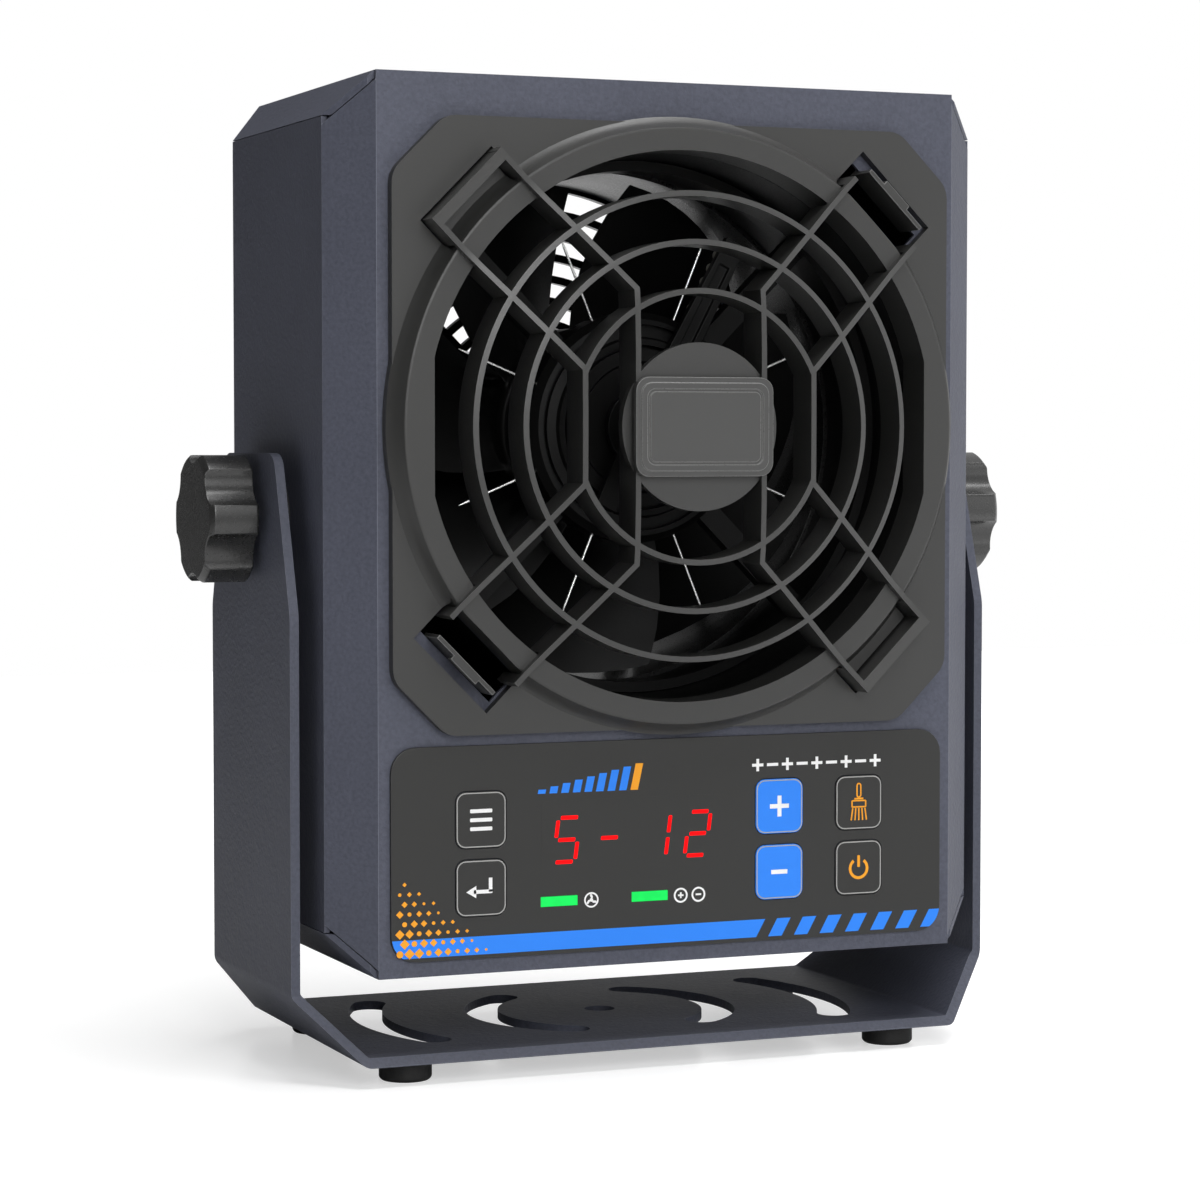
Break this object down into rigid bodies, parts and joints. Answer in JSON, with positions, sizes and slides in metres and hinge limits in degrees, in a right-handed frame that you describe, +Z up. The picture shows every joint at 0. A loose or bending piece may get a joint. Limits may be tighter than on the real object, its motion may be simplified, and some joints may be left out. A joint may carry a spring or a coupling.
{
  "type": "ionizing blower",
  "caption": "Bench-top ionizing blower: bevelled steel case with a fan, ring of emitter needles, round grille and keypad, tilting between the clamp knobs of a slotted U-bracket.",
  "frame": {"origin": "centre of the bench-screw hole in the bracket's base, on its underside, in the plane of the tilt axis", "axes": "+Z up, the air leaves along -Y (the front), +X to the right seen from the front"},
  "size_m": [0.1918, 0.109, 0.2135],
  "materials": {
    "case_paint": "fine textured satin paint",
    "bracket_paint": "fine textured satin paint",
    "dark_screw": "black oxide",
    "bezel_plastic": "satin moulded",
    "grille_plastic": "satin moulded",
    "black_plastic": "moulded",
    "knob_plastic": "fine grained",
    "overlay_film": "matt film",
    "blue_film": "matt film",
    "display_glass": "tinted window",
    "green_lamp": "tinted window",
    "needle_metal": "ground",
    "plain_steel": "plated",
    "copper_winding": "enamelled copper",
    "brass_part": "plain",
    "bristle": "nylon tufts",
    "circuit_board": "solder resist",
    "foot_rubber": "matt"
  },
  "bodies": {
    "bracket_body": {"bracket": "bracket_paint", "foot_front_left": "foot_rubber", "foot_front_right": "foot_rubber", "foot_rear_left": "foot_rubber", "foot_rear_right": "foot_rubber"},
    "head": {"front_case": "case_paint", "rear_case": "case_paint", "case_screws": "dark_screw", "front_bezel": "bezel_plastic", "air_duct": "black_plastic", "front_grille": "grille_plastic", "grille_plate": "bezel_plastic", "grille_latches": "bezel_plastic", "emitter_carrier": "black_plastic", "emitter_needles": "needle_metal", "brush_motor": "plain_steel", "fan_frame": "black_plastic", "fan_bearings": "plain_steel", "fan_stator": "copper_winding", "fan_screws": "dark_screw", "rear_guard": "black_plastic", "control_overlay": "overlay_film", "key_switches": "plain_steel", "display_module": "display_glass", "status_lights": "green_lamp", "control_board": "circuit_board", "board_standoffs": "brass_part", "high_voltage_module": "black_plastic", "power_supply_board": "circuit_board", "power_inlet": "black_plastic", "inlet_screws": "plain_steel", "earth_terminal": "brass_part", "pivot_inserts": "plain_steel", "friction_washers": "foot_rubber"},
    "fan_wheel": {"fan_rotor": "black_plastic", "fan_shaft": "needle_metal"},
    "brush": {"brush_arm": "black_plastic", "brush_bristles": "bristle"},
    "clamp_left": {"knob_left": "knob_plastic", "stud_left": "plain_steel"},
    "clamp_right": {"knob_right": "knob_plastic", "stud_right": "plain_steel"},
    "key_menu_cap": {"key_menu": "overlay_film"},
    "key_enter_cap": {"key_enter": "overlay_film"},
    "key_plus_cap": {"key_plus": "blue_film"},
    "key_minus_cap": {"key_minus": "blue_film"},
    "key_clean_cap": {"key_clean": "overlay_film"},
    "key_power_cap": {"key_power": "overlay_film"}
  },
  "joints": [
    {"name": "head_tilt", "type": "hinge", "parent": "bracket_body", "child": "head", "pos_m": [0, 0, 0.1152], "axis": [1, 0, 0], "continuous": true},
    {"name": "knob_left_turn", "type": "hinge", "parent": "head", "child": "clamp_left", "pos_m": [-0.088, 0, 0.1152], "axis": [-1, 0, 0], "range_deg": [0, 360]},
    {"name": "knob_right_turn", "type": "hinge", "parent": "head", "child": "clamp_right", "pos_m": [0.088, 0, 0.1152], "axis": [1, 0, 0], "range_deg": [0, 360]},
    {"name": "fan_spin", "type": "hinge", "parent": "head", "child": "fan_wheel", "pos_m": [0, 0.02, 0.135], "axis": [0, 1, 0], "continuous": true},
    {"name": "brush_spin", "type": "hinge", "parent": "head", "child": "brush", "pos_m": [0, -0.02, 0.135], "axis": [0, 1, 0], "continuous": true},
    {"name": "key_menu_press", "type": "slide", "parent": "head", "child": "key_menu_cap", "axis": [0, 1, 0], "range_m": [0, 0.0004], "stiffness_N_per_m": 400},
    {"name": "key_enter_press", "type": "slide", "parent": "head", "child": "key_enter_cap", "axis": [0, 1, 0], "range_m": [0, 0.0004], "stiffness_N_per_m": 400},
    {"name": "key_plus_press", "type": "slide", "parent": "head", "child": "key_plus_cap", "axis": [0, 1, 0], "range_m": [0, 0.0004], "stiffness_N_per_m": 400},
    {"name": "key_minus_press", "type": "slide", "parent": "head", "child": "key_minus_cap", "axis": [0, 1, 0], "range_m": [0, 0.0004], "stiffness_N_per_m": 400},
    {"name": "key_clean_press", "type": "slide", "parent": "head", "child": "key_clean_cap", "axis": [0, 1, 0], "range_m": [0, 0.0004], "stiffness_N_per_m": 400},
    {"name": "key_power_press", "type": "slide", "parent": "head", "child": "key_power_cap", "axis": [0, 1, 0], "range_m": [0, 0.0004], "stiffness_N_per_m": 400}
  ]
}
